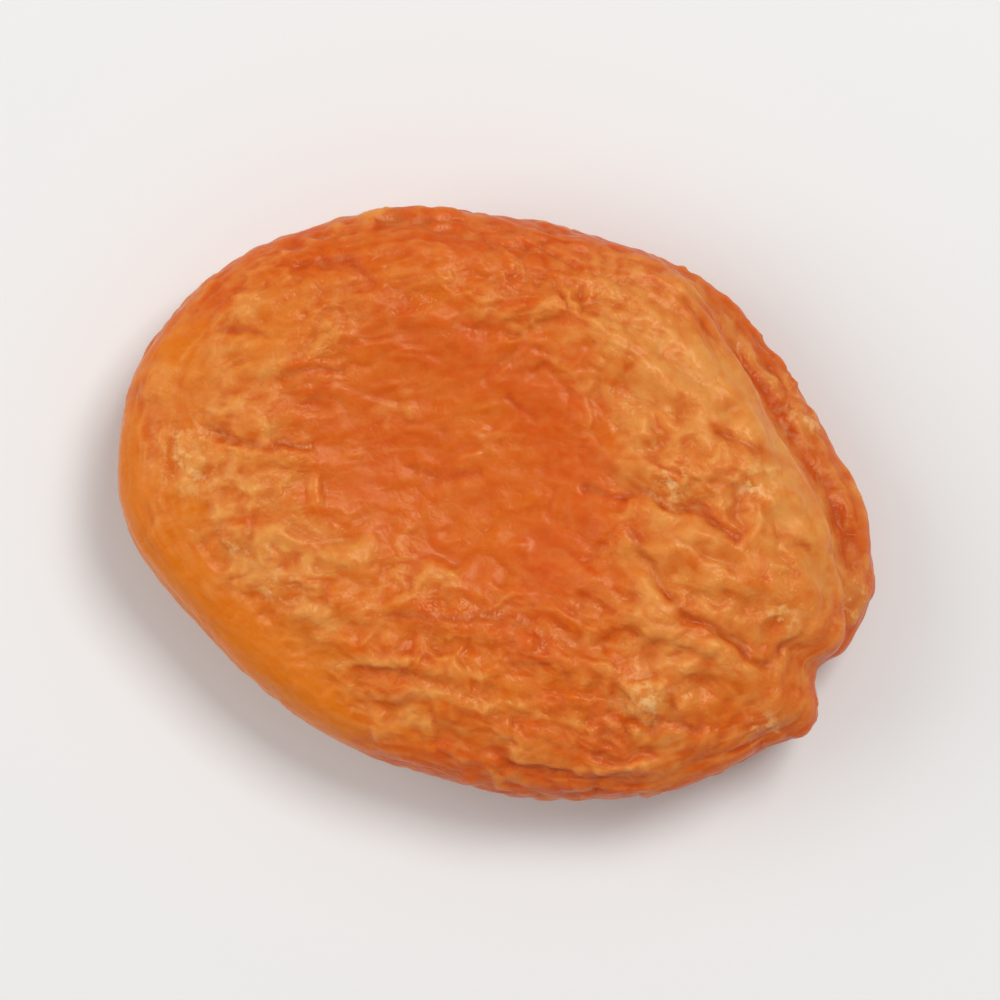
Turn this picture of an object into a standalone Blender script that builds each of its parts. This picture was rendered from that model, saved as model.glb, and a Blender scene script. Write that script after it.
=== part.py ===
# A whole pitted dried apricot, lying flat, modelled as one closed solid.
# The origin is under the middle of the fruit, on the surface it lies on. The stem end points
# to +X, the blossom end to -X, and +Z is up. Lengths are in millimetres until the mesh is
# written, in metres. Turns are in degrees from the stem end, seen from above. A reach is a
# share of the way from the middle to the outline, and a level runs from -1 at the underside
# to 1 at the top.

import math

import bmesh
import bpy
import numpy as np

# Driving dimensions
LENGTH = 45.0
WIDTH = 33.1
THICKNESS = 11.5

METRES = 0.001
GRID = 31  # quads along each edge of the starting cube
EDGE_POWER = 3.5  # 2 is an elliptical section, and more is a fatter edge with flatter faces
FACE_LEVELS = (0.35, 0.95)  # between them the edge turns into the upper or lower face

# Swellings and dents of the outline: turn, rise and spread in degrees
OUTLINE_SWELLS = (
    (-8.0, -1.6, 3.0),  # nick beside the stem end
    (-17.0, 0.9, 3.0),  # lobe below the nick
    (8.0, 0.3, 8.0),  # stem end
    (32.0, -0.6, 12.0),  # flatter stretch above it
    (70.0, 0.7, 16.0),  # shoulder
    (130.0, 0.3, 8.0),
    (158.0, 0.8, 14.0),
    (180.0, 1.1, 13.0),  # blossom end
    (-160.0, 1.4, 13.0),  # fuller corner below the blossom end
    (-83.0, -0.3, 16.0),  # flatter side
    (-57.0, -0.3, 8.0),
)

# The seam round the edge, between the upper and the lower lip
SEAM = dict(level=0.06, wander=0.16, waver=0.06, depth=1.0, width=0.14, fade=0.45, uneven=0.2)

# Where the upper lip stands back from the lower one
SETBACK = dict(depth=2.5, starts=-4.0, full=12.0, narrows=46.0, ends=80.0, slope=0.45, brink=0.06)

# Forms of the two faces: the hollow over the place of the stone, the pad towards the stem
# end, the fat edge on the -X, -Y side with the valley inside it, and the belly underneath
BASIN = dict(centre=(-3.2, 1.6), radii=(13.0, 10.0), rise=-1.25, brim=(0.25, 1.15))
PAD = dict(centre=(12.0, 2.0), radii=(9.0, 11.0), rise=0.5, brim=(0.3, 1.1))
FAT_EDGE = dict(turn=-140.0, spread=55.0, reach=0.92, width=0.09, rise=0.35)
VALLEY = dict(turn=-140.0, spread=55.0, reach=0.79, width=0.06, rise=-0.4)
BELLY_DROP = 0.45
SADDLE_RISE = 0.35  # how far the edge rises and falls, twice round
FLAT_SHARE = 0.07  # share of all the points that lie flat on the surface

# Stem scar, a puckered dimple in the edge
SCAR = dict(level=0.25, radius=1.6, depth=0.7)

# Wrinkles: wavelength, height from crease to crest, how strongly they line up from end to
# end, how far they break into cushions, and the seed of the draw they grow from
FOLDS = dict(wavelength=5.0, height=0.75, lining=0.6, cushions=0.3, seed=5)
WRINKLES = dict(wavelength=2.7, height=0.5, lining=0.45, cushions=0.7, seed=12)
GROWING_TIME = 16.0
FIRST_ROUGHNESS = 0.25
CREASE_POWER = 1.6  # 1 is an even wave, and more is broad crests with narrow creases
TOP_SHARE = 0.6  # how much of the folds is left on the upper face, which was pressed flat
EDGE_SHARE = 0.5  # how much of all wrinkles is left on the edge

# How readily the skin wrinkles: the first value holds everywhere, the others add to it, and
# below 0 the skin stays smooth
READINESS = dict(everywhere=0.35, basin=-0.6, pad=0.45, fat_edge=-1.1, stem_end=0.35)
STEM_END_FROM = (0.3, 0.48)  # in lengths from the middle

SKIN_COLOUR = (0.60, 0.145, 0.022, 1.0)
SKIN_ROUGHNESS = 0.42


def bell(offset, spread):
    return np.exp(-((offset / spread) ** 2))


def smooth_step(value, start, end):
    share = np.clip((value - start) / (end - start), 0.0, 1.0)
    return share * share * (3.0 - 2.0 * share)


def turn_from(direction, angle):
    """Degrees from a direction to an angle in radians, the short way round."""
    return (np.degrees(angle) - direction + 180.0) % 360.0 - 180.0


def inside(points, centre, radii, brim, rise=1.0):
    """The rise inside an oval seen from above, falling to 0 across its brim."""
    away = np.hypot((points[:, 0] - centre[0]) / radii[0], (points[:, 1] - centre[1]) / radii[1])
    return rise * (1.0 - smooth_step(away, *brim))


def along_edge(angle, reached, turn, spread, reach, width, rise):
    """The rise along a stretch of the edge."""
    return rise * bell(turn_from(turn, angle), spread) * bell(reached - reach, width)


def outline(angle):
    """Distance from the middle to the outline."""
    radius = 1.0 / np.hypot(np.cos(angle) / (LENGTH / 2), np.sin(angle) / (WIDTH / 2))
    for turn, rise, spread in OUTLINE_SWELLS:
        radius = radius + rise * bell(turn_from(turn, angle), spread)
    return radius


def section(share):
    """Reach and height at a share of the way over the skin from the middle to the edge."""
    turn = np.linspace(0.0, math.pi / 2, 400)
    size = (np.sin(turn) ** EDGE_POWER + np.cos(turn) ** EDGE_POWER) ** (-1 / EDGE_POWER)
    reach = np.sin(turn) * size
    height = np.cos(turn) * size
    mean_radius = (LENGTH + WIDTH) / 4
    travel = np.hypot(np.diff(reach) * mean_radius, np.diff(height) * THICKNESS / 2)
    along = np.concatenate([[0.0], np.cumsum(travel)])
    along /= along[-1]
    return np.interp(share, along, reach), np.interp(share, along, height)


def seam_pull(angle, level):
    """How far the skin is drawn in at the seam, and where the upper lip stands back."""
    seam = SEAM["level"] + SEAM["wander"] * np.sin(2.0 * angle + 0.8)
    seam = seam + SEAM["waver"] * np.sin(7.0 * angle)
    depth = SEAM["depth"] * (1.0 - SEAM["fade"] * (0.5 - 0.5 * np.cos(angle)))
    depth = depth * (1.0 - SEAM["uneven"] + SEAM["uneven"] * np.sin(5.0 * angle + 1.0))
    turn = turn_from(0.0, angle)
    setback = SETBACK["depth"] * smooth_step(turn, SETBACK["starts"], SETBACK["full"])
    setback = setback * (1.0 - smooth_step(turn, SETBACK["narrows"], SETBACK["ends"]))
    upper_lip = smooth_step(level - seam, -SETBACK["slope"], SETBACK["brink"])
    return depth * bell(level - seam, SEAM["width"]) + setback * upper_lip


def plain_form(directions):
    """The fruit without wrinkles, at unit directions, with each point's reach and level."""
    across = np.hypot(directions[:, 0], directions[:, 1])
    angle = np.arctan2(directions[:, 1], directions[:, 0])
    reach, height = section(np.arctan2(across, np.abs(directions[:, 2])) / (math.pi / 2))
    level = np.sign(directions[:, 2]) * height
    radius = outline(angle) * reach - seam_pull(angle, level) * reach ** 2
    x = radius * np.cos(angle)
    y = radius * np.sin(angle)
    points = np.stack([x, y, level * THICKNESS / 2], axis=1)

    rise = smooth_step(level, *FACE_LEVELS) * (inside(points, **BASIN) + inside(points, **PAD))
    rise += (level > 0.0) * along_edge(angle, reach, **FAT_EDGE)
    rise += (level > 0.0) * along_edge(angle, reach, **VALLEY)
    rise -= smooth_step(-level, *FACE_LEVELS) * BELLY_DROP * (1.0 - reach ** 2)
    rise += SADDLE_RISE * reach ** 3 * np.sin(2.0 * angle + 2.2)
    from_scar = np.hypot(y, points[:, 2] - SCAR["level"] * THICKNESS / 2)
    points[:, 0] -= (x > 0.0) * reach ** 8 * SCAR["depth"] * bell(from_scar, SCAR["radius"])
    points[:, 2] += rise
    return points, reach, level


def wrinkling(points, reach, level):
    """How readily the skin wrinkles at each point."""
    angle = np.arctan2(points[:, 1], points[:, 0])
    top = smooth_step(level, 0.1, 0.6)
    basin = top * inside(points, BASIN["centre"], BASIN["radii"], (0.3, 0.9))
    pad = top * inside(points, PAD["centre"], PAD["radii"], (0.7, 1.1))
    fat_edge = bell(turn_from(FAT_EDGE["turn"], angle), FAT_EDGE["spread"])
    fat_edge *= smooth_step(level, -0.4, 0.0) * smooth_step(reach, 0.72, 0.85)
    stem_end = smooth_step(points[:, 0] / LENGTH, *STEM_END_FROM)
    readiness = READINESS["everywhere"] + READINESS["basin"] * basin + READINESS["pad"] * pad
    return readiness + READINESS["fat_edge"] * fat_edge + READINESS["stem_end"] * stem_end


class Skin:
    """The links between neighbouring points of the skin, for adding up differences."""

    def __init__(self, points, links, normals):
        self.count = len(points)
        self.start, self.end = links.T
        step = points[self.end] - points[self.start]
        length = np.linalg.norm(step, axis=1)
        lengthwise = np.array([1.0, 0.0, 0.0]) - normals * normals[:, :1]
        lengthwise /= np.linalg.norm(lengthwise, axis=1, keepdims=True) + 1e-6
        share = np.abs(np.sum(lengthwise[self.start] * step, axis=1)) / length
        self.every_way = 1.0 / length ** 2
        self.along = self.every_way * share ** 2

    def spread(self, values, weights):
        flow = weights * (values[self.end] - values[self.start])
        gained = np.bincount(self.start, flow, self.count)
        return gained - np.bincount(self.end, flow, self.count)

    def crowding(self):
        both = np.concatenate([self.start, self.end])
        return np.bincount(both, np.tile(self.every_way, 2), self.count).max()


def grow_wrinkles(skin, readiness, wavelength, height, lining, cushions, seed):
    """Rise of each point once the skin has buckled in waves of about one wavelength.

    Waves longer or shorter than the wavelength cost bending, and so die out, while the
    others grow until the cubed term holds them. The squared term favours crests, which
    breaks waves into cushions, and spreading along the fruit lines them up from end to end.
    """
    scale = (wavelength / (2.0 * math.pi)) ** 2
    stiffest = 2.0 * skin.crowding() * scale
    step = 1.0 / ((stiffest - 1.0) ** 2 + lining * stiffest + 2.0)
    wave = np.random.default_rng(seed).normal(0.0, FIRST_ROUGHNESS, skin.count)
    for _ in range(int(GROWING_TIME / step)):
        bent = wave + scale * skin.spread(wave, skin.every_way)
        bent = bent + scale * skin.spread(bent, skin.every_way)
        lined = lining * scale * skin.spread(wave, skin.along)
        wave = wave + step * (readiness * wave - bent + lined + cushions * wave ** 2 - wave ** 3)
    crest = np.clip(wave, -1.0, 1.0)
    return height * (0.5 ** CREASE_POWER - ((1.0 - crest) / 2.0) ** CREASE_POWER)


def cube_of_quads():
    """A bmesh of a cube whose faces are grids, and the unit direction of each vertex."""
    mesh = bmesh.new()
    bmesh.ops.create_cube(mesh, size=2.0)
    bmesh.ops.subdivide_edges(mesh, edges=mesh.edges[:], cuts=GRID - 1, use_grid_fill=True)
    mesh.verts.index_update()
    corners = np.array([vertex.co[:] for vertex in mesh.verts])
    directions = np.tan(corners * math.pi / 4)
    return mesh, directions / np.linalg.norm(directions, axis=1, keepdims=True)


def place(mesh, points):
    for vertex, point in zip(mesh.verts, points):
        vertex.co = point
    mesh.normal_update()


def lay_flat(points):
    """Presses the lowest points onto the surface, and fits the form to its real size."""
    floor = np.quantile(points[:, 2], FLAT_SHARE)
    points[:, 2] = np.maximum(points[:, 2] - floor, 0.0)
    low = points.min(axis=0)
    size = points.max(axis=0) - low
    points[:, :2] -= low[:2] + size[:2] / 2
    return points * (np.array([LENGTH, WIDTH, THICKNESS]) / size)


def dried_apricot():
    mesh, directions = cube_of_quads()
    points, reach, level = plain_form(directions)
    place(mesh, points)
    normals = np.array([vertex.normal[:] for vertex in mesh.verts])
    links = np.array([[end.index for end in edge.verts] for edge in mesh.edges])
    skin = Skin(points, links, normals)
    readiness = wrinkling(points, reach, level)
    rise = grow_wrinkles(skin, readiness, **FOLDS)
    rise *= 1.0 - (1.0 - TOP_SHARE) * smooth_step(level, *FACE_LEVELS)
    rise += grow_wrinkles(skin, readiness, **WRINKLES)
    rise *= EDGE_SHARE + (1.0 - EDGE_SHARE) * smooth_step(np.abs(level), *FACE_LEVELS)
    place(mesh, lay_flat(points + normals * rise[:, None]) * METRES)

    data = bpy.data.meshes.new("apricot")
    mesh.to_mesh(data)
    mesh.free()
    data.shade_smooth()
    fruit = bpy.data.objects.new("apricot", data)
    bpy.context.collection.objects.link(fruit)
    return fruit


def skin_material():
    material = bpy.data.materials.new("dried apricot skin")
    material.use_nodes = True
    shader = material.node_tree.nodes["Principled BSDF"]
    shader.inputs["Base Color"].default_value = SKIN_COLOUR
    shader.inputs["Roughness"].default_value = SKIN_ROUGHNESS
    shader.inputs["Metallic"].default_value = 0.0
    return material


for leftover in list(bpy.data.objects):
    bpy.data.objects.remove(leftover, do_unlink=True)
dried_apricot().data.materials.append(skin_material())
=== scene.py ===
# Dried apricot on a pale table, seen from straight above in soft studio light.
# Lengths on the fruit are in millimetres and turns in degrees. Only the studio is in metres.
import math
import bmesh
import bpy
import numpy as np
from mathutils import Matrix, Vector
from mathutils.kdtree import KDTree


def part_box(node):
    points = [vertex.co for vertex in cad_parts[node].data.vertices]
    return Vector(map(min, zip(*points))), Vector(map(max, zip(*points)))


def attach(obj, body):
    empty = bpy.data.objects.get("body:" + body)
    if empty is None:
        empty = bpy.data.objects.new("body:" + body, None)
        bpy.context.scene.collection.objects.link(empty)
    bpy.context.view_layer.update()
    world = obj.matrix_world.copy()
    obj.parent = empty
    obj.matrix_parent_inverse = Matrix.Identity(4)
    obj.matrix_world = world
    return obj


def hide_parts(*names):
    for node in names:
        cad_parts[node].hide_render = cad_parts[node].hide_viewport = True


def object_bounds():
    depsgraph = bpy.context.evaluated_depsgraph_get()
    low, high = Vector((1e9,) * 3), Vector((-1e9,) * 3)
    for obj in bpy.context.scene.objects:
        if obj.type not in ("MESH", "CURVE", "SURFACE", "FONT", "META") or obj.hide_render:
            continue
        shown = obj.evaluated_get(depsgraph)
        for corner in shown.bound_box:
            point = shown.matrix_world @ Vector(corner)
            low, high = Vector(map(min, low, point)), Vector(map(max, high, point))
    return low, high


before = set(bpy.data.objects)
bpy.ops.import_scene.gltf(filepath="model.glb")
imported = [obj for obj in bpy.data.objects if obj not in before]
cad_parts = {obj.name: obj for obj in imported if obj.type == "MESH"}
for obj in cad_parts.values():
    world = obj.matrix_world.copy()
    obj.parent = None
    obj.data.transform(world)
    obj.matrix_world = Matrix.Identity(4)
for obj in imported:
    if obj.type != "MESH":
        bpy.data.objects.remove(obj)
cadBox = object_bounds()
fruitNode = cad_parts["apricot"]
mm = 0.001
fruitLow, fruitHigh = (np.array(corner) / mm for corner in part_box("apricot"))
print("frame loaded, the fruit spans", (fruitHigh - fruitLow).round(2), "mm")


# small helpers for fields over the skin

def smoothStep(value, start, end):
    share = np.clip((value - start) / (end - start), 0.0, 1.0)
    return share * share * (3.0 - 2.0 * share)


def bell(offset, spread):
    return np.exp(-((offset / spread) ** 2))


def turnFrom(direction, turn):
    return (turn - direction + 180.0) % 360.0 - 180.0


def oval(x, y, centre, radii, turn=0.0):
    # 0 in the middle of a turned oval and 1 on it
    c, s = math.cos(math.radians(turn)), math.sin(math.radians(turn))
    right, up = x - centre[0], y - centre[1]
    return np.hypot((right * c + up * s) / radii[0], (up * c - right * s) / radii[1])


def spots(x, y, places):
    # soft round spots, each given by its middle and radius
    return sum(bell(np.hypot(x - cx, y - cy), radius) for (cx, cy), radius in places)


def fromPath(x, y, path):
    # distance, seen from above, to a bent line
    nearest = np.full(len(x), np.inf)
    for (ax, ay), (bx, by) in zip(path, path[1:]):
        runX, runY = bx - ax, by - ay
        share = np.clip(((x - ax) * runX + (y - ay) * runY) / (runX ** 2 + runY ** 2), 0.0, 1.0)
        nearest = np.minimum(nearest, np.hypot(x - ax - share * runX, y - ay - share * runY))
    return nearest


def mottle(points, size, seed):
    # soft patches of about one size, mostly between -1 and 1, from a few crossing waves
    waveCount, waveHeight = 16, 0.28
    draw = np.random.default_rng(seed)
    heading = draw.normal(size=(waveCount, 3))
    pace = 2.0 * math.pi / size * draw.uniform(0.7, 1.4, waveCount) / np.linalg.norm(heading, axis=1)
    waves = np.cos(points @ (heading * pace[:, None]).T + draw.uniform(0.0, 2.0 * math.pi, waveCount))
    return waves.sum(axis=1) * waveHeight


def summed(at, shares):
    # adds up the fields in at, each by its share
    return sum(share * at[field] for field, share in shares.items())


def gained(values, start, end, weights=1.0):
    # what each point takes up from its neighbours over the links
    flow = weights * (values[end] - values[start])
    return np.bincount(start, flow, len(values)) - np.bincount(end, flow, len(values))


class Skin:
    # points, normals and links of a mesh of quads as arrays, in millimetres
    def __init__(self, mesh):
        self.mesh = mesh
        self.count = len(mesh.vertices)
        self.points = self.vectors(mesh.vertices, "co") / mm
        self.normals = self.vectors(mesh.vertex_normals, "vector")
        links = np.empty(len(mesh.edges) * 2, np.int64)
        mesh.edges.foreach_get("vertices", links)
        self.start, self.end = links.reshape(-1, 2).T
        self.neighbours = np.bincount(links, minlength=self.count).astype(float)

    def vectors(self, rows, name):
        flat = np.empty(self.count * 3)
        rows.foreach_get(name, flat)
        return flat.reshape(-1, 3)

    def lengths(self, start, end):
        return np.maximum(np.linalg.norm(self.points[end] - self.points[start], axis=1), 1e-4)

    def weigh(self):
        # weights of the links for growing waves, held back where points crowd together
        length = self.lengths(self.start, self.end)
        self.weights = 1.0 / np.maximum(length, np.median(length) * 0.9) ** 2
        crowding = np.bincount(self.start, self.weights, self.count)
        crowding += np.bincount(self.end, self.weights, self.count)
        self.crowding = np.median(crowding) * 1.1
        held = np.minimum(self.crowding / crowding, 1.0)
        self.weights *= np.minimum(held[self.start], held[self.end])

    def comb(self, way):
        # how well each link, across the quads too, lies along the grain
        corners = np.empty(len(self.mesh.loops), np.int64)
        self.mesh.loops.foreach_get("vertex_index", corners)
        corners = corners.reshape(-1, 4)
        self.fromPoint = np.concatenate([self.start, corners[:, 0], corners[:, 1]])
        self.toPoint = np.concatenate([self.end, corners[:, 2], corners[:, 3]])
        step = self.points[self.toPoint] - self.points[self.fromPoint]
        length = self.lengths(self.fromPoint, self.toPoint)
        self.combed = (np.abs(np.sum(way[self.fromPoint] * step, axis=1)) / length) ** 8
        total = np.bincount(self.fromPoint, self.combed, self.count)
        total += np.bincount(self.toPoint, self.combed, self.count)
        self.combed /= np.maximum(np.maximum(total[self.fromPoint], total[self.toPoint]), 0.2)

    def everyWay(self, values):
        return gained(values, self.start, self.end, self.weights)

    def alongGrain(self, values):
        return gained(values, self.fromPoint, self.toPoint, self.combed)

    def blurred(self, values, rounds):
        for _ in range(rounds):
            values = values + 0.6 * gained(values, self.start, self.end) / self.neighbours
        return values

    def hollows(self, rounds):
        # how far each point lies under the blurred skin
        blurred = np.stack([self.blurred(self.points[:, i], rounds) for i in range(3)], axis=1)
        return np.sum((blurred - self.points) * self.normals, axis=1)

    def raiseBy(self, rise):
        # moves the points along their normals, and keeps them inside the solid's own box
        self.points = np.clip(self.points + self.normals * rise[:, None], fruitLow, fruitHigh)
        self.mesh.vertices.foreach_set("co", (self.points * mm).ravel())
        self.mesh.update()
        self.normals = self.vectors(self.mesh.vertex_normals, "vector")

    def tone(self, name):
        values = np.empty(self.count)
        self.mesh.attributes[name].data.foreach_get("value", values)
        return values

    def storeTone(self, name, values):
        self.mesh.attributes.new(name, "FLOAT", "POINT")
        self.mesh.attributes[name].data.foreach_set("value", values.astype(np.float32))

    def storePlace(self, name, places):
        self.mesh.attributes.new(name, "FLOAT_VECTOR", "POINT")
        self.mesh.attributes[name].data.foreach_set("vector", places.astype(np.float32).ravel())


# the fruit's fine skin, grown from the solid's own mesh

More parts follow.
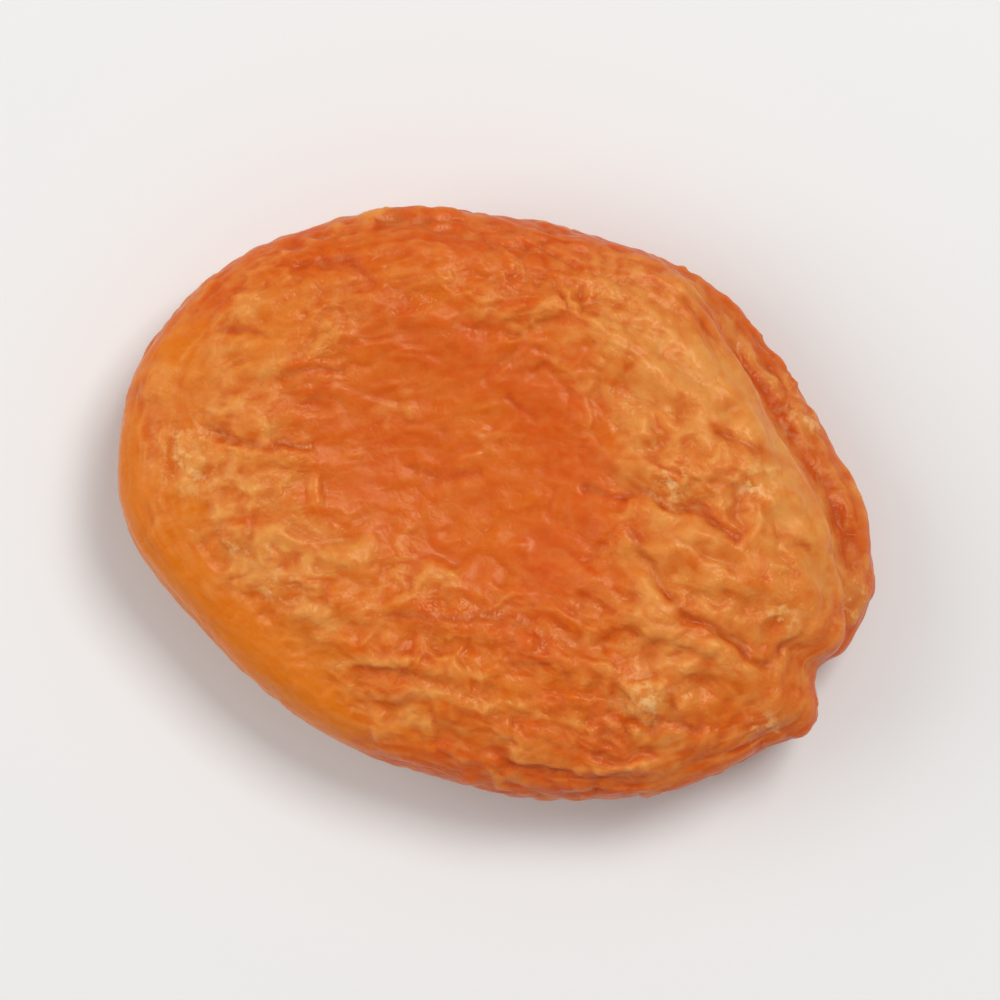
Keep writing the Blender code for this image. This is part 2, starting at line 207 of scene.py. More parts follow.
skin = {
    # places on the fruit, seen from above with the stem end to the right
    "basin": {"centre": (-2.6, 1.8), "radii": (11.0, 9.2), "brim": (0.55, 1.05)},
    "plateauStarts": ((-12.0, 12.4), (-9.0, 10.4), (-4.0, 8.4), (0.0, 8.8), (3.2, 7.2),
                      (6.7, 4.4), (9.9, 2.8), (13.9, 0.4)),  # y, x
    "plateauBorder": (-0.6, 0.9),
    "lip": {"setback": 2.5, "starts": (-4.0, 12.0), "ends": (46.0, 80.0)},  # the solid's own, by turn
    "groove": {"depth": 0.12, "width": 0.30, "inset": -0.35},
    "lightStrip": (1.9, ((5.6, 11.6), (8.4, 10.4), (10.6, 9.9), (13.8, 8.0), (17.2, 4.7), (19.4, 1.9))),
    "deepStrip": (3.0, ((-8.7, 7.8), (-1.3, 7.4), (3.0, 4.3), (6.1, 0.4), (4.5, -6.5))),
    "fatEdge": {"turn": -138.0, "spread": 36.0, "goldSpread": 55.0},
    # middle, radii and turn of the rippled and of the grainy stretch
    "ripples": ((0.5, -10.6), (9.0, 3.6), 14.0),
    "granular": ((-11.1, -6.6), (5.5, 3.0), -25.0),
    # middle and radius: the most wrinkled places, those with painted glints (cream spots that stand in for
    # highlights), and soft patches that were placed where the skin is more tan, or a deeper orange
    "crumpled": (((10.5, -9.0), 5.5), ((-1.0, 12.0), 6.0)),
    "flecks": (((-17.6, -3.5), 1.9), ((-13.8, -7.1), 0.8), ((-10.1, -8.9), 1.0), ((-12.2, -7.1), 0.8),
               ((11.6, -8.0), 1.5), ((21.4, 1.0), 1.3), ((9.0, 4.2), 1.3), ((13.6, 5.6), 1.3),
               ((17.4, -1.1), 1.0), ((15.4, 10.6), 1.6), ((18.6, -7.6), 1.0)),
    "tanPatches": (((7.0, 9.0), 3.0), ((11.0, 3.5), 2.0), ((9.5, 0.0), 2.0), ((2.0, 14.0), 2.5),
                   ((4.0, 10.5), 2.0), ((-17.5, 3.0), 2.0), ((-7.0, -6.0), 2.5), ((-14.5, -7.0), 1.5)),
    # the deep patch at (-5.0, 14.5), at the top edge, is partly painted shade
    "deepPatches": (((-13.0, 3.0), 2.5), ((-8.5, -1.5), 3.0), ((0.0, -7.0), 3.0), ((5.0, -9.0), 3.0),
                    ((9.0, -11.0), 2.5), ((16.0, -7.5), 2.5), ((-5.0, 14.5), 3.0), ((5.0, -2.0), 2.5),
                    ((-9.0, 12.5), 2.5)),
    # which way the wrinkles run: on the left, on the right, from where to where they turn, how far
    # they wander, and the oval that they follow at the edge
    "grain": {"left": 26.0, "right": -12.0, "turns": (-4.0, 8.0), "wander": 14.0, "oval": (22.5, 16.5)},
    # crinkles that grow as waves: the shares say how readily, how strongly lined up, and what
    # starts a crest or a crease. In strength, patchy is middle, swing, size and seed.
    "crinkles": {
        "wavelength": 2.1, "height": 0.13, "cushions": 0.9, "seed": 31, "time": 12.0, "creasePower": 3.0,
        "ready": {"everywhere": 0.35, "plateau": 0.25, "stemEnd": 0.2},
        "lining": {"everywhere": 0.8, "edge": 0.96, "basin": 0.48, "plateau": -0.4},
        "push": {"ridge": 0.5, "puff": 0.3, "crease": -0.8},
        "shares": {"everywhere": 0.7, "plateau": 0.05, "stemEnd": 0.35, "basin": -0.4, "fatEdge": -0.5,
                   "crumpled": 0.45, "calm": -0.45},
        "patchy": (0.8, 0.4, 7.0, 21), "onSide": 0.8, "limits": (0.04, 2.0),
    },
    # cushions, and the pinched folds between smaller ones: spacing, height, how far they are drawn
    # out on the face and at the edge, seed, and strength as above
    "cushions": {
        "size": 2.1, "height": 0.15, "onFace": 2.2, "atEdge": 3.2, "seed": 51,
        "shares": {"everywhere": 0.75, "plateau": 0.15, "basin": -0.35, "fatEdge": -0.5, "calm": -0.5,
                   "crumpled": 0.5},
        "patchy": (0.9, 0.3, 6.0, 22), "onSide": 0.0, "limits": (0.05, 1.5),
    },
    "pinches": {
        "size": 1.0, "height": 0.135, "onFace": 2.6, "atEdge": 4.0, "seed": 57,
        "shares": {"everywhere": 0.95, "edge": 0.15, "grainy": 0.3, "rippled": 0.35, "lip": 0.3,
                   "crumpled": 0.3, "basin": -0.35, "fatEdge": -0.65, "calm": -0.4},
        "patchy": (0.85, 0.5, 3.5, 23), "onSide": -0.35, "limits": (0.2, 1.4),
    },
    "fineGrain": (2.4, 3.6),  # how far the finish's fold lines are drawn out on the face and at the edge
    "crisper": 0.85,  # how far crests and creases are sharpened at the end
    # colours and roughness, everywhere and what each field adds; eased fields count half on the plateau
    "tones": {
        # tan is partly the skin's own (plateau, calm strip, grainy stretch, patches, cushion lots, mottle)
        # and partly painted highlight on ridges, puffs, crests and folds; painted shade takes it away
        # towards the edge, in dips, seams, creases and the groove
        "tan": {"everywhere": 0.04, "plateau": 0.48, "calm": 0.35, "grainy": 0.35, "tanPatches": 0.3,
                "basin": -0.25, "deepest": -0.25, "fatEdge": -0.5, "lip": -0.15, "outer": -0.22,
                "rippled": -0.32, "deepPatches": -0.45, "openRimShade": -0.25, "ridge": 0.8, "puff": 0.2,
                "puffEased": 0.8, "crease": -0.4, "groove": -0.2, "crests": 0.15, "folds": 0.65,
                "plateauFolds": -1.04, "lotsEased": 0.8, "tanMottleEased": 0.18, "dipsEased": -0.2,
                "seamsEased": -0.25},
        # deep orange is partly the skin's own (basin, deepest strip, patches, mottle) and partly painted
        # shade towards the edge, in dips and in seams; ridges and puffs lose it as painted highlight
        "deep": {"basin": 0.55, "deepest": 0.45, "plateau": -0.3, "deepPatches": 0.36, "tanPatches": -0.24,
                 "rim": 0.8, "outer": 0.25, "goldSide": -0.4, "puff": -1.0, "ridge": -0.5, "dips": 0.25,
                 "seams": 0.2, "lots": -0.5, "deepMottle": 0.18},
        # red is painted shade: in creases, the groove, crinkle dips, cushion seams, folds drawn into the
        # plateau, hollows and towards the edge
        "red": {"crease": 0.95, "groove": 0.1, "dipsEased": 0.15, "seamsEased": 0.45, "plateauFolds": 0.22,
                "sunkEased": 2.2, "rim": 0.38},
        # brown is painted shade in crease cores and in the deepest hollows
        "brown": {"creaseCores": 0.25, "hollowShade": 1.2},
        "gold": {"fatEdge": 0.8, "goldSide": 0.7, "goldMottle": 0.2},
        "rough": {"everywhere": 0.95, "fatEdge": -0.4, "basin": -0.6, "calm": -0.3},
        # painted glints: cream spots that stand in for highlights
        "flecked": {"flecks": 1.0},
        "edge": {"woundRound": 1.0},
    },
    "markWaver": 0.22,  # how far the marks below wander off their paths
    # share of a crease's width and depth that is cut here, and the depth from which it gets its full
    # painted shade
    "creaseCut": {"width": 0.75, "depth": 0.35, "stainedAt": 0.35},
    # width, depth and path of each crease that stands out
    "creases": (
        (0.45, 0.45, ((-17.5, -1.1), (-15.4, -2.0), (-11.5, -0.6))),
        (0.32, 0.32, ((-13.8, 2.8), (-11.0, 4.4))),
        (0.35, 0.25, ((-17.9, 4.2), (-15.9, 4.8))),
        (0.35, 0.35, ((-12.0, 12.7), (-9.2, 14.0))),
        (0.30, 0.25, ((-15.3, 9.1), (-12.9, 10.0), (-11.5, 9.8))),
        (0.30, 0.25, ((-1.6, 5.7), (-0.2, 5.1))),
        (0.35, 0.15, ((-6.4, 2.6), (-4.0, 2.6))),
        (0.35, 0.18, ((-5.7, -0.2), (-1.5, 0.9))),
        (0.30, 0.25, ((5.7, 4.4), (7.9, 5.1), (9.0, 4.8))),
        (0.42, 0.45, ((4.4, 2.1), (8.6, 3.1), (11.0, 3.0), (13.8, 2.5))),
        (0.38, 0.30, ((10.2, 7.7), (12.5, 7.7))),
        (0.32, 0.25, ((15.8, 3.5), (17.5, 3.2))),
        (0.42, 0.45, ((7.9, 0.5), (9.9, -1.2), (11.9, -2.4), (13.7, -2.9), (17.4, -3.9))),
        (0.32, 0.40, ((13.0, -7.7), (13.8, -8.6), (15.0, -8.8))),
        (0.32, 0.35, ((13.8, -8.6), (12.2, -10.0))),
        (0.60, 0.30, ((-4.1, -8.3), (-0.1, -7.5), (3.5, -5.9))),
        (0.35, 0.30, ((-4.6, -12.1), (0.1, -10.3))),
        (0.35, 0.30, ((-1.9, -12.6), (2.0, -10.8))),
        (0.35, 0.28, ((0.6, -13.2), (4.6, -11.5))),
        (0.35, 0.25, ((-3.8, -10.5), (0.1, -9.3))),
        (0.38, 0.28, ((4.0, -13.9), (7.2, -13.9), (11.8, -12.7))),
        (0.35, 0.25, ((7.2, -12.4), (10.2, -12.1), (13.7, -10.4))),
    ),
    # width, height and path of each ridge; the colours paint each ridge tan as a highlight
    "ridges": (
        (0.45, 0.25, ((-4.2, -11.2), (0.8, -9.8))),
        (0.45, 0.28, ((-3.2, -12.7), (1.6, -11.4))),
        (0.45, 0.25, ((-0.8, -13.5), (3.4, -12.3))),
        (0.50, 0.25, ((5.6, -13.2), (9.8, -13.1), (12.8, -11.7))),
        (0.60, 0.30, ((-14.1, 12.1), (-10.8, 13.9), (-7.8, 14.9))),
        (0.50, 0.25, ((21.3, 2.1), (21.3, 0.0))),
        (0.40, 0.22, ((5.9, 15.5), (10.0, 13.3), (13.6, 11.1), (16.8, 8.6), (19.4, 6.1), (21.2, 3.5))),
        (0.35, 0.18, ((13.2, 12.3), (17.4, 9.1), (20.6, 5.9))),
        (0.22, 0.12, ((6.3, 5.4), (5.9, 6.1), (6.4, 6.8), (7.2, 6.6), (7.3, 5.9))),
        (0.20, 0.12, ((10.6, 6.1), (10.5, 6.7), (11.0, 7.0), (11.4, 6.6))),
        (0.20, 0.12, ((8.9, 3.8), (9.6, 4.8), (11.0, 4.7), (11.9, 4.3))),
        (0.20, 0.12, ((12.2, 5.5), (13.0, 6.5), (14.3, 6.4))),
        (0.20, 0.12, ((14.2, 4.2), (14.6, 3.4))),
        (0.20, 0.12, ((15.7, 1.6), (17.2, 1.9))),
        (0.22, 0.12, ((16.9, -1.0), (18.4, -1.4))),
        (0.30, 0.15, ((-6.0, -12.0), (-1.5, -10.6), (2.2, -9.9))),
        (0.30, 0.15, ((1.0, -11.8), (5.5, -10.7), (9.0, -10.6))),
    ),
    # middle, radii, turn, height and tan of each puffed place; the tan paints a highlight on the puff
    "puffs": (
        ((-17.6, -3.4), (1.0, 1.9), 19, 0.25, 1.0), ((-20.8, 0.0), (1.3, 1.3), 0, 0.20, 0.6),
        ((-15.3, -0.1), (2.2, 0.9), 0, 0.30, 0.6), ((-17.5, 5.7), (1.9, 0.8), 19, 0.15, 0.5),
        ((-6.8, -5.6), (1.7, 1.3), 19, 0.20, 0.8), ((-8.1, -9.8), (1.9, 0.8), 19, 0.15, 0.8),
        ((-2.0, -5.3), (1.7, 1.2), 19, 0.22, 0.6), ((-10.3, -2.8), (0.6, 1.2), 25, 0.15, 0.5),
        ((-13.2, -3.4), (1.6, 0.9), 10, 0.15, 0.5), ((9.6, 10.9), (2.6, 2.2), 0, 0.20, 0.4),
        ((6.4, 6.2), (1.0, 0.9), 0, 0.30, 0.4), ((10.9, 1.2), (2.2, 1.0), 4, 0.28, 0.5),
        ((11.2, -3.9), (1.7, 1.2), -30, 0.28, 0.6), ((9.5, -2.3), (1.3, 0.8), -20, 0.25, 0.5),
        ((13.2, -1.4), (1.8, 1.0), -20, 0.22, 0.4), ((15.0, -4.7), (2.4, 1.2), 0, 0.26, 0.5),
        ((17.5, 3.7), (2.2, 2.0), 0, 0.20, 0.2), ((11.3, -7.8), (1.8, 0.8), -11, 0.30, 0.9),
        ((14.5, 6.0), (2.2, 1.3), -20, 0.20, 0.3), ((12.7, -5.7), (1.6, 1.2), 10, 0.20, 0.4),
    ),
}


def quadMesh(source):
    # the solid comes as triangles: pair them up again into the quads of its grid
    grid = bmesh.new()
    grid.from_mesh(source.data)
    bmesh.ops.remove_doubles(grid, verts=grid.verts[:], dist=2e-6)
    bmesh.ops.join_triangles(grid, faces=grid.faces[:], angle_face_threshold=math.pi,
                             angle_shape_threshold=math.pi, topology_influence=2.0)
    mesh = bpy.data.meshes.new("apricotSkin")
    grid.to_mesh(mesh)
    grid.free()
    return mesh


def subdivided(mesh, name):
    # one round of subdivision, applied
    holder = bpy.data.objects.new(name, mesh)
    bpy.context.scene.collection.objects.link(holder)
    step = holder.modifiers.new("finer", "SUBSURF")
    step.levels = step.render_levels = 1
    graph = bpy.context.evaluated_depsgraph_get()
    finer = bpy.data.meshes.new_from_object(holder.evaluated_get(graph))
    bpy.data.objects.remove(holder)
    return finer


def outlineAt(turn, radius):
    # how far out the fruit reaches at each turn, from the furthest point of every sector
    sector = 3.0
    middles = np.arange(-180.0, 180.0, sector)
    furthest = np.zeros(len(middles))
    np.maximum.at(furthest, np.round((turn + 180.0) / sector).astype(int) % len(middles), radius)
    return np.interp(turn, middles, furthest, period=360.0)


def places(cover):
    # fields over the skin: where each point is, and from 0 to 1 how much it belongs to each place
    x, y, z = cover.points.T
    turn, radius = np.degrees(np.arctan2(y, x)), np.hypot(x, y)
    outline = outlineAt(turn, radius)
    inset, reach = outline - radius, radius / outline
    ragged = mottle(cover.points, 3.2, 3) * 0.7
    top = smoothStep(cover.normals[:, 2], 0.05, 0.5) * smoothStep(z, 3.0, 5.5)
    at = {"everywhere": np.ones(cover.count), "x": x, "y": y, "z": z, "turn": turn, "reach": reach,
          "inset": inset, "top": top}
    at["side"] = smoothStep(-np.abs(cover.normals[:, 2]), -0.9, -0.4)
    at["edge"] = smoothStep(reach, 0.84, 0.95)
    at["stemEnd"] = smoothStep(x, 15.0, 21.0)
    at["grainy"] = top * (1.0 - smoothStep(oval(x, y, *skin["granular"]), 0.6, 1.1))
    at["rippled"] = top * (1.0 - smoothStep(oval(x, y, *skin["ripples"]) + 0.1 * ragged, 0.7, 1.1))
    at["woundRound"] = np.maximum(smoothStep(reach, 0.78, 0.88), at["rippled"])
    for name in ("crumpled", "flecks"):
        at[name] = top * spots(x, y, skin[name])
    for name, strip, fade in (("calm", "lightStrip", 0.5), ("deepest", "deepStrip", 0.3)):
        width, path = skin[strip]
        at[name] = top * smoothStep(fromPath(x, y, path) / width + 0.3 * ragged, 1.1, fade)

    basin = skin["basin"]
    away = oval(x, y, basin["centre"], basin["radii"]) + 0.12 * ragged
    at["basin"] = top * (1.0 - smoothStep(away, *basin["brim"]))

    # the upper lip that stands back from the lower one, and the groove between them
    folded = smoothStep(turn, *skin["lip"]["starts"]) * (1.0 - smoothStep(turn, *skin["lip"]["ends"]))
    foldLine = inset - skin["lip"]["setback"] * folded
    at["lip"] = folded * (1.0 - smoothStep(foldLine, -0.5, 0.1))
    at["groove"] = bell(foldLine - skin["groove"]["inset"], skin["groove"]["width"]) * folded * top
    at["groove"] *= np.clip(0.65 + 0.45 * mottle(cover.points, 3.5, 15), 0.25, 1.0)

    ys, xs = zip(*skin["plateauStarts"])
    ahead = x - np.interp(y, ys, xs) + ragged
    at["plateau"] = top * smoothStep(ahead, *skin["plateauBorder"]) * smoothStep(reach, 1.0, 0.93)
    at["plateau"] *= 1.0 - at["lip"]

    # the fat smooth edge at the lower left, the gold side round it, and the rest of the outer skin, which
    # the colours darken towards the edge as painted shade
    fatEdge = skin["fatEdge"]
    uneven = turnFrom(fatEdge["turn"], turn + 12.0 * mottle(cover.points, 6.0, 64) + 2.0 * (z - 6.0))
    fat = bell(uneven, fatEdge["spread"]) * smoothStep(z, 2.5, 6.5)
    at["fatEdge"] = smoothStep(fat, 0.1, 0.6) * smoothStep(reach + 0.06 * ragged + 0.13 * fat, 0.84, 1.06)
    at["lowerLeft"] = smoothStep(bell(uneven, fatEdge["goldSpread"]), 0.08, 0.85)
    at["goldSide"] = at["lowerLeft"] * smoothStep(reach, 0.62, 0.85)
    # painted shade: the colours darken the outer skin, off the plateau and away from the lower left
    at["outer"] = smoothStep(reach, 0.58, 0.82) * (1.0 - at["lowerLeft"]) * (1.0 - at["plateau"])
    return at


def strength(cover, at, how):
    # how strongly one kind of wrinkle shows at each point
    middle, swing, size, seed = how["patchy"]
    patchy = middle + swing * mottle(cover.points, size, seed)
    return np.clip(summed(at, how["shares"]) * patchy * (1.0 + how["onSide"] * at["side"]), *how["limits"])


def marks(cover, at):
    # the creases, ridges and puffs that stand out: gives their rise, and keeps each kind as a field
    x = at["x"] + skin["markWaver"] * mottle(cover.points, 2.6, 12)
    y = at["y"] + skin["markWaver"] * mottle(cover.points, 2.3, 13)
    rise, crease, ridge, puff = np.zeros((4, cover.count))
    broken = np.clip(0.85 + 0.35 * mottle(cover.points, 2.0, 14), 0.4, 1.0)
    cut = skin["creaseCut"]
    for width, depth, path in skin["creases"]:
        line = bell(fromPath(x, y, path), width * cut["width"]) * broken
        rise -= cut["depth"] * depth * line * (1.0 - 0.6 * at["rippled"])
        crease = np.maximum(crease, line * min(1.0, depth / cut["stainedAt"]))
    for width, height, path in skin["ridges"]:
        line = bell(fromPath(x, y, path), width)
        rise += height * line * (1.0 - 0.45 * at["rippled"])
        ridge = np.maximum(ridge, line)
    for middle, radii, turn, height, tan in skin["puffs"]:
        swell = 1.0 - smoothStep(oval(x, y, middle, radii, turn), 0.35, 1.15)
        rise += height * swell
        puff = np.maximum(puff, tan * swell)
    at["crease"] = crease * (1.0 - 0.5 * at["rippled"]) * at["top"]
    at["ridge"], at["puff"] = ridge * at["top"], puff * at["top"]
    return rise * at["top"]


def grainTurn(x):
    how = skin["grain"]
    return how["left"] + (how["right"] - how["left"]) * smoothStep(x, *how["turns"])


def wayOfGrain(cover, at):
    # wrinkles run along the fruit, tilted on the left, and follow the outline at the edge
    length, width = skin["grain"]["oval"]
    along = np.radians(grainTurn(at["x"]) + skin["grain"]["wander"] * mottle(cover.points, 9.0, 8))
    around = np.arctan2(at["x"] / length ** 2, -at["y"] / width ** 2)
    inner, outer = 1.0 - at["edge"], at["edge"]
    doubled = np.arctan2(inner * np.sin(2.0 * along) + outer * np.sin(2.0 * around),
                         inner * np.cos(2.0 * along) + outer * np.cos(2.0 * around))
    way = np.stack([np.cos(doubled / 2.0), np.sin(doubled / 2.0), np.zeros(cover.count)], axis=1)
    way -= cover.normals * np.sum(way * cover.normals, axis=1, keepdims=True)
    return way / (np.linalg.norm(way, axis=1, keepdims=True) + 1e-6)


def withGrain(at, onFace, atEdge):
    # places squeezed along the grain: once laid over the face and once wound round the edge
    meanRadius, through = 19.0, 0.8 * at["z"]
    stops = np.linspace(-24.0, 24.0, 97)
    slope = np.tan(np.radians(grainTurn(stops)))
    lift = np.interp(at["x"], stops, np.cumsum(slope) * (stops[1] - stops[0]))
    face = np.stack([at["x"] / onFace, at["y"] - lift, through], axis=1)
    turn, ring = np.radians(at["turn"]), meanRadius / atEdge
    edge = np.stack([ring * np.cos(turn), ring * np.sin(turn), at["inset"] + through], axis=1)
    return face, edge


def grownWave(cover, how, ready, lining, push):
    # the skin buckles in waves of about one length, lined up along the grain: longer and shorter
    # waves cost bending and die out, and the cubed term holds the rest
    length = how["wavelength"] * np.clip(1.0 + 0.2 * mottle(cover.points, 6.0, how["seed"]), 0.7, 1.3)
    scale = (length / (2.0 * math.pi)) ** 2
    stiffest = 2.0 * cover.crowding * scale.max()
    step = 1.0 / ((stiffest - 1.0) ** 2 + 2.0 * lining.max() + 2.0)
    wave = np.random.default_rng(how["seed"]).normal(0.0, 0.25, cover.count)
    for _ in range(int(how["time"] / step)):
        bent = wave + scale * cover.everyWay(wave)
        bent = bent + scale * cover.everyWay(bent)
        lined = lining * cover.alongGrain(wave)
        wave = wave + step * (ready * wave - bent + lined + how["cushions"] * wave ** 2 - wave ** 3 + push)
    return wave


def growCrinkles(mesh):
    cover = Skin(mesh)
    at = places(cover)
    marks(cover, at)
    how = skin["crinkles"]
    cover.weigh()
    cover.comb(wayOfGrain(cover, at))
    lining = np.maximum(summed(at, how["lining"]) * (1.0 - 0.9 * at["grainy"]), 0.05)
    wave = grownWave(cover, how, summed(at, how["ready"]), lining, summed(at, how["push"]))
    cover.storeTone("crinkles", wave)
    # rounded crests with narrow creases between them
    crest = 0.2 - ((1.0 - np.clip(wave, -1.0, 1.0)) / 2.0) ** how["creasePower"]
    cover.raiseBy(how["height"] * strength(cover, at, how) * crest)
    print("crinkles grown on", cover.count, "points")


def patchwork(place, size, seed):
    # irregular cushions: the distance to the nearest seam, each one's lot from 0 to 1, and its tilt
    draw = np.random.default_rng(seed)
    low, high = place.min(axis=0) - size, place.max(axis=0) + size
    count = int(np.prod((high - low) / size))
    seeds = draw.uniform(low, high, (count, 3))
    tree = KDTree(count)
    for i, spot in enumerate(seeds):
        tree.insert(spot, i)
    tree.balance()
    closest = [tree.find_n(spot, 2) for spot in place]
    which = np.array([pair[0][1] for pair in closest])
    gap = np.array([pair[1][2] - pair[0][2] for pair in closest]) / 2.0
    lean = draw.normal(0.0, 0.5, (count, 3))
    return gap, draw.random(count)[which], np.sum((place - seeds[which]) * lean[which], axis=1)


def quilted(cover, at, how):
    # cushions laid with the grain: how close each point is to a seam, and its cushion's lot and tilt
    size, seed = how["size"], how["seed"]
    warp = np.stack([mottle(cover.points, 2.4 * size, seed + i) for i in range(3)], axis=1) * 0.4 * size
    face, edge = (place + warp for place in withGrain(at, how["onFace"], how["atEdge"]))
    share = at["woundRound"]
    inner, outer = patchwork(face, size, seed), patchwork(edge, size, seed + 9)
    gap, lot, tilt = ((1.0 - share) * a + share * b for a, b in zip(inner, outer))
    return np.exp(-gap / (0.16 * size)), lot, tilt / size


def layCushions(cover, at):
    # cushions and pinched folds: gives their rise, and keeps them as fields for the colours, which paint
    # raised folds tan as highlight, and seams and the folds drawn into the plateau as shade
    seam, lot, tilt = quilted(cover, at, skin["cushions"])
    pinch, smallLot, smallTilt = quilted(cover, at, skin["pinches"])
    pinch *= smoothStep(mottle(cover.points, 1.7, 24), -0.9, 0.3)
    weak, strong = strength(cover, at, skin["cushions"]), strength(cover, at, skin["pinches"])
    at["seams"], at["folds"] = np.clip(weak * seam, 0.0, 1.0), np.clip(strong * pinch, 0.0, 1.0)
    at["plateauFolds"] = at["folds"] * at["plateau"]
    at["lots"] = weak * (1.0 - seam) * (lot - 0.35) + 0.7 * strong * (1.0 - pinch) * (smallLot - 0.5)
    # pinched up into folds on most of the skin, and drawn in between small cushions on the plateau
    raised = 1.0 - 1.6 * at["plateau"]
    rise = weak * skin["cushions"]["height"] * (0.25 - seam + 0.35 * (lot - 0.5) + 0.5 * tilt)
    return rise + strong * skin["pinches"]["height"] * (raised * (pinch - 0.3) + 0.3 * smallTilt)


def storeTones(cover, at):
    # where the skin is tan, gold, deep orange, red and brown, where it is rough, and its grain
    # painted shade: deeper orange and redder towards the edge, less so low on the side and not at the
    # lower left; tan is taken off the open edge
    at["rim"] = smoothStep(at["reach"], 0.78, 1.0) * (1.0 - at["lowerLeft"])
    at["rim"] *= 0.3 + 0.7 * smoothStep(at["z"], 2.5, 6.5)
    at["openRimShade"] = at["rim"] * (1.0 - at["plateau"])
    crinkle = cover.tone("crinkles")
    # painted highlight: tan on the crinkle crests, outside the basin
    at["crests"] = smoothStep(crinkle, 0.0, 0.9) * (1.0 - at["basin"])
    # painted shade: deeper and redder in the crinkle dips, and darker in crease cores and in hollows under
    # the blurred skin
    at["dips"] = smoothStep(-crinkle, 0.1, 0.9)
    at["creaseCores"] = at["crease"] ** 2 * (1.0 - 0.7 * at["basin"])
    at["sunk"] = cover.hollows(10)
    at["hollowShade"] = np.clip(at["sunk"] - 0.12, 0.0, 0.4)
    x = at["x"] + 0.5 * mottle(cover.points, 3.0, 66)
    y = at["y"] + 0.5 * mottle(cover.points, 2.7, 67)
    for name in ("tanPatches", "deepPatches"):
        at[name] = at["top"] * spots(x, y, skin[name])
    for name, size, seed in (("tanMottle", 4.2, 61), ("goldMottle", 8.0, 62), ("deepMottle", 3.5, 63)):
        at[name] = mottle(cover.points, size, seed)
    for name in ("puff", "lots", "dips", "seams", "sunk", "tanMottle"):
        at[name + "Eased"] = at[name] * (1.0 - 0.5 * at["plateau"])
    for name, shares in skin["tones"].items():
        cover.storeTone(name, np.clip(summed(at, shares), 0.0, 1.0))
    for name, place in zip(("faceGrain", "edgeGrain"), withGrain(at, *skin["fineGrain"])):
        cover.storePlace(name, place)


def makeFruit():
    coarse = subdivided(quadMesh(fruitNode), "coarse")
    growCrinkles(coarse)
    fine = subdivided(coarse, "fine")
    cover = Skin(fine)
    at = places(cover)
    rise = marks(cover, at) + layCushions(cover, at) - skin["groove"]["depth"] * at["groove"]
    cover.raiseBy(cover.blurred(rise, 1))
    at.update(zip("xyz", cover.points.T))  # the colours follow the raised skin
    cover.raiseBy(-skin["crisper"] * cover.hollows(6))
    print("cushions laid on", cover.count, "points")
    storeTones(cover, at)
    fine.shade_smooth()
    fine.name = "apricotSkin"
    fruit = bpy.data.objects.new("apricotSkin", fine)
    bpy.context.scene.collection.objects.link(fruit)
    return fruit


# the skin's finish

finish = {
    "orange": (0.69, 0.135, 0.005), "deep": (0.67, 0.100, 0.005), "gold": (0.72, 0.178, 0.003),
    "tan": (0.77, 0.318, 0.070), "red": (0.56, 0.056, 0.003), "brown": (0.36, 0.072, 0.003),
    # the colour of the painted glints, standing in for highlights
    "glintColour": (0.88, 0.52, 0.20),
    # wandering lines: spacing in millimetres, width as a share of it, and depth in micrometres
    "creases": (0.9, 0.45, 26.0), "fineCreases": (0.42, 0.6, 6.0), "folds": (1.0, 0.7, 24.0),
    "pores": (0.16, 3.0),  # spacing in millimetres and depth in micrometres
    "flecks": 0.7, "speckle": 0.5, "patchy": 1.3, "broad": 9.0, "fading": 2.7, "gloss": 1.4,  # spacing
    # how much of each colour the fine patterns add: painted shade on the crease lines, painted highlight
    # on the fold lines, and painted glints
    "goldShare": 0.35, "creaseShade": 0.22, "foldHighlightShare": 0.30, "speckleShare": 0.14, "glintShare": 0.85,
    "smooth": 0.29, "rough": 0.46, "shine": 0.35, "shineTint": (1.0, 0.72, 0.45),
    "glow": 0.55, "glowDepth": 1.5, "glowRadius": (1.0, 0.34, 0.07),
}


def node(tree, kind, **values):
    made = tree.nodes.new(kind)
    for name, value in values.items():
        if name in made.inputs:
            made.inputs[name].default_value = value
        else:
            setattr(made, name, value)
    return made


def plugged(tree, socket, value):
    # links another node's output to a socket, or sets a plain value on it
    if isinstance(value, bpy.types.NodeSocket):
        tree.links.new(value, socket)
    elif isinstance(value, tuple):
        socket.default_value = (*value, 1.0)
    else:
        socket.default_value = value


def tone(tree, name):
    return node(tree, "ShaderNodeAttribute", attribute_name=name).outputs["Fac"]


def mixed(tree, share, first, second):
    # of two colours
    mix = node(tree, "ShaderNodeMix", data_type="RGBA")
    for socket, value in ((mix.inputs[0], share), (mix.inputs[6], first), (mix.inputs[7], second)):
        plugged(tree, socket, value)
    return mix.outputs[2]


def blended(tree, share, first, second):
    # of two values
    mix = node(tree, "ShaderNodeMix", data_type="FLOAT")
    for socket, value in ((mix.inputs[0], share), (mix.inputs[2], first), (mix.inputs[3], second)):
        plugged(tree, socket, value)
    return mix.outputs[0]


def reckon(tree, operation, *values):
    step = node(tree, "ShaderNodeMath", operation=operation, use_clamp=True)
    for socket, value in zip(step.inputs, values):
        plugged(tree, socket, value)
    return step.outputs[0]


def ranged(tree, value, low, high, toLow=0.0, toHigh=1.0, curve="LINEAR"):
    limits = {"From Min": low, "From Max": high, "To Min": toLow, "To Max": toHigh}
    ramp = node(tree, "ShaderNodeMapRange", interpolation_type=curve, **limits)
    plugged(tree, ramp.inputs["Value"], value)
    return ramp.outputs["Result"]


def grain(tree, coordinates, size, detail=3.0, roughness=0.55, distortion=0.0):
    noise = node(tree, "ShaderNodeTexNoise", Scale=1.0 / size, Detail=detail, Roughness=roughness,
                 Distortion=distortion)
    plugged(tree, noise.inputs["Vector"], coordinates)
    return noise.outputs["Fac"]


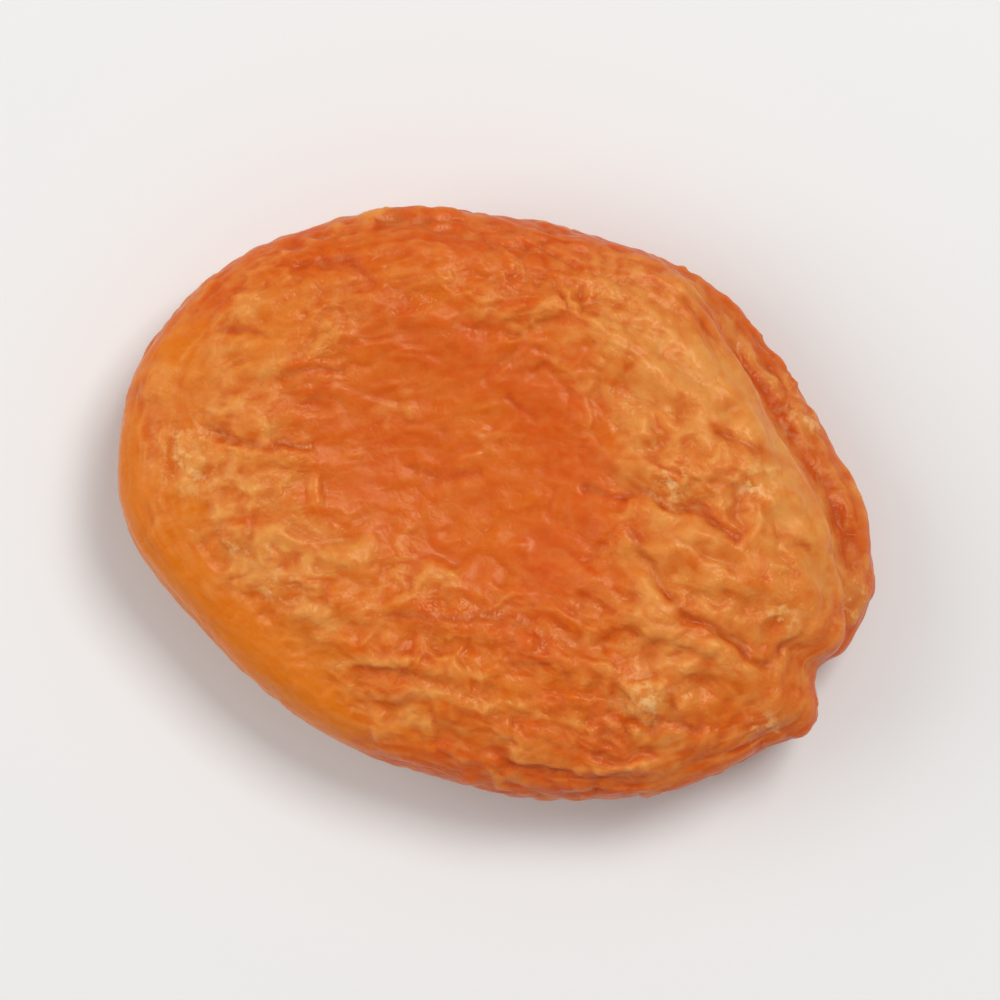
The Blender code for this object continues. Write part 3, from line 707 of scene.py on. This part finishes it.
def wanderingLines(tree, coordinates, size, width, detail, onLine, between):
    # one value on narrow wandering lines and another between them
    wander = ranged(tree, grain(tree, coordinates, size, detail), 0.25, 0.75, -1.0, 1.0)
    return ranged(tree, reckon(tree, "ABSOLUTE", wander), 0.0, width, onLine, between, "SMOOTHSTEP")


def bumped(tree, height, depth, strength, under=None):
    bump = node(tree, "ShaderNodeBump", Distance=depth * 1e-6)
    plugged(tree, bump.inputs["Height"], height)
    plugged(tree, bump.inputs["Strength"], strength)
    if under:
        plugged(tree, bump.inputs["Normal"], under)
    return bump.outputs["Normal"]


def finePatterns(tree):
    # the patterns finer than the mesh, each from 0 to 1
    scaled = node(tree, "ShaderNodeMapping", Scale=(1.0 / mm,) * 3)
    plugged(tree, scaled.inputs["Vector"], node(tree, "ShaderNodeTexCoord").outputs["Object"])
    where = scaled.outputs["Vector"]  # millimetres
    overFace, roundEdge = (node(tree, "ShaderNodeAttribute", attribute_name=name).outputs["Vector"]
                           for name in ("faceGrain", "edgeGrain"))
    foldLines = (wanderingLines(tree, along, *finish["folds"][:2], 1.0, 1.0, 0.0)
                 for along in (overFace, roundEdge))
    creaseLines = wanderingLines(tree, where, *finish["creases"][:2], 2.0, 0.0, 1.0)
    fading = ranged(tree, grain(tree, where, finish["fading"], 1.0), 0.4, 0.6, 0.8, 0.0)
    # painted glints: small cream spots in place of highlights, where their tone allows
    glintSpots = ranged(tree, grain(tree, where, finish["flecks"], 3.0, 0.6), 0.50, 0.66)
    return {
        "folds": blended(tree, tone(tree, "edge"), *foldLines),
        "creases": reckon(tree, "MAXIMUM", creaseLines, fading),
        "fineCreases": wanderingLines(tree, where, *finish["fineCreases"][:2], 1.0, 0.0, 1.0),
        "flecks": reckon(tree, "MULTIPLY", tone(tree, "flecked"), glintSpots),
        "broad": ranged(tree, grain(tree, where, finish["broad"]), 0.35, 0.65),
        "patchy": ranged(tree, grain(tree, where, finish["patchy"], 4.0, 0.6, 0.6), 0.35, 0.65),
        "speckle": ranged(tree, grain(tree, where, finish["speckle"], 3.0, 0.6), 0.45, 0.72),
        "gloss": grain(tree, where, finish["gloss"], 3.0, 0.6),
        "pores": grain(tree, where, finish["pores"][0], 2.0, 0.65),
    }


def skinColour(tree, fine):
    # orange first, then gold, deep orange, tan with its painted highlights, red and brown as painted
    # shade, and the fine lines' painted shade and highlights and the painted glints on top
    patchy, roughPlace = fine["patchy"], tone(tree, "rough")
    # the tan tone, partly painted highlight, brightened and dimmed in patches
    tanAndHighlight = reckon(tree, "MULTIPLY", tone(tree, "tan"), ranged(tree, patchy, 0.0, 1.0, 0.5, 1.2))
    # painted shade: the red tone, and red on the fine crease lines
    paintedShadeRed = reckon(tree, "MULTIPLY", tone(tree, "red"), ranged(tree, patchy, 0.0, 1.0, 1.0, 0.6))
    lines = ranged(tree, fine["creases"], 0.0, 1.0, finish["creaseShade"], 0.0)
    paintedShadeRed = reckon(tree, "MAXIMUM", paintedShadeRed, reckon(tree, "MULTIPLY", lines, roughPlace))
    # painted highlight: tan strokes along the fine fold lines, broken up in patches
    broken = ranged(tree, patchy, 0.0, 1.0, 0.3 * finish["foldHighlightShare"], 1.3 * finish["foldHighlightShare"])
    lit = reckon(tree, "MULTIPLY", reckon(tree, "MULTIPLY", fine["folds"], broken), roughPlace)
    layers = (
        (reckon(tree, "MULTIPLY", fine["broad"], finish["goldShare"]), "gold"),
        (tone(tree, "gold"), "gold"), (tone(tree, "deep"), "deep"), (tanAndHighlight, "tan"), (paintedShadeRed, "red"),
        (tone(tree, "brown"), "brown"), (lit, "tan"),
        (reckon(tree, "MULTIPLY", fine["speckle"], finish["speckleShare"]), "tan"),
        (reckon(tree, "MULTIPLY", fine["flecks"], finish["glintShare"]), "glintColour"),
    )
    colour = finish["orange"]
    for share, name in layers:
        colour = mixed(tree, share, colour, finish[name])
    return colour


def skinRelief(tree, fine):
    normal, roughPlace = None, tone(tree, "rough")
    for name in ("creases", "fineCreases", "folds"):
        normal = bumped(tree, fine[name], finish[name][-1], roughPlace, normal)
    return bumped(tree, fine["pores"], finish["pores"][-1], 0.8, normal)


def skinMaterial():
    material = bpy.data.materials.new("apricotSkinFinish")
    material.use_nodes = True
    tree = material.node_tree
    shader = tree.nodes["Principled BSDF"]
    fine = finePatterns(tree)
    tree.links.new(skinColour(tree, fine), shader.inputs["Base Color"])
    tree.links.new(skinRelief(tree, fine), shader.inputs["Normal"])
    roughness = ranged(tree, fine["gloss"], 0.3, 0.7, finish["smooth"], finish["rough"])
    tree.links.new(roughness, shader.inputs["Roughness"])
    shader.inputs["Subsurface Weight"].default_value = finish["glow"]
    shader.inputs["Subsurface Radius"].default_value = finish["glowRadius"]
    shader.inputs["Subsurface Scale"].default_value = finish["glowDepth"] * mm
    shader.inputs["Specular IOR Level"].default_value = finish["shine"]
    shader.inputs["Specular Tint"].default_value = (*finish["shineTint"], 1.0)
    return material


fruit = makeFruit()
fruit.data.materials.append(skinMaterial())
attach(fruit, "root")
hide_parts("apricot")
print("fruit dressed,", len(fruit.data.polygons), "faces")


# table, light and camera, in metres but for the width of the picture and the lens, in millimetres

studio = {
    "tableSide": 3.0, "tableColour": (0.86, 0.855, 0.845), "tableRoughness": 0.85,
    "roll": 19.0,  # turns the fruit's long axis down to the right in the picture
    "frameWidth": 58.0, "lens": 200.0,
    "keyFrom": (0.18, 0.20, 0.53), "keySize": 0.20, "keyPower": 1.75,  # right, up, height, in the picture
    "fillFrom": (-0.42, 0.05, 0.34), "fillSize": 0.4, "fillPower": 1.0,
    "roomLight": 0.38,
}


def inPicture(right, up, height):
    # a place given by the picture's own right and up
    turn = math.radians(studio["roll"])
    return Vector((right * math.cos(turn) - up * math.sin(turn),
                   right * math.sin(turn) + up * math.cos(turn), height))


def table():
    bpy.ops.mesh.primitive_plane_add(size=studio["tableSide"])
    top = bpy.context.object
    top.name = "table"
    material = bpy.data.materials.new("table")
    material.use_nodes = True
    shader = material.node_tree.nodes["Principled BSDF"]
    shader.inputs["Base Color"].default_value = (*studio["tableColour"], 1.0)
    shader.inputs["Roughness"].default_value = studio["tableRoughness"]
    top.data.materials.append(material)


def softbox(name):
    # the name's own place, size and power in the studio
    lamp = bpy.data.lights.new(name, "AREA")
    lamp.size = studio[name + "Size"]
    lamp.energy = studio[name + "Power"]
    box = bpy.data.objects.new(name, lamp)
    box.location = inPicture(*studio[name + "From"])
    box.rotation_euler = (-box.location).to_track_quat("-Z", "Y").to_euler()
    bpy.context.scene.collection.objects.link(box)


def room():
    world = bpy.data.worlds.new("room")
    world.use_nodes = True
    world.node_tree.nodes["Background"].inputs["Color"].default_value = (1.0, 1.0, 1.0, 1.0)
    world.node_tree.nodes["Background"].inputs["Strength"].default_value = studio["roomLight"]
    bpy.context.scene.world = world


def camera():
    eye = bpy.data.cameras.new("camera")
    eye.lens = studio["lens"]
    middle = (cadBox[0] + cadBox[1]) / 2
    away = studio["frameWidth"] * mm * eye.lens / eye.sensor_width
    holder = bpy.data.objects.new("camera", eye)
    holder.location = Vector((middle.x, middle.y, middle.z + away))
    holder.rotation_euler = (0.0, 0.0, math.radians(studio["roll"]))
    bpy.context.scene.collection.objects.link(holder)
    bpy.context.scene.camera = holder


table()
softbox("key")
softbox("fill")
room()
camera()
bpy.context.scene.view_settings.view_transform = "Standard"
print("table, lights and camera placed")
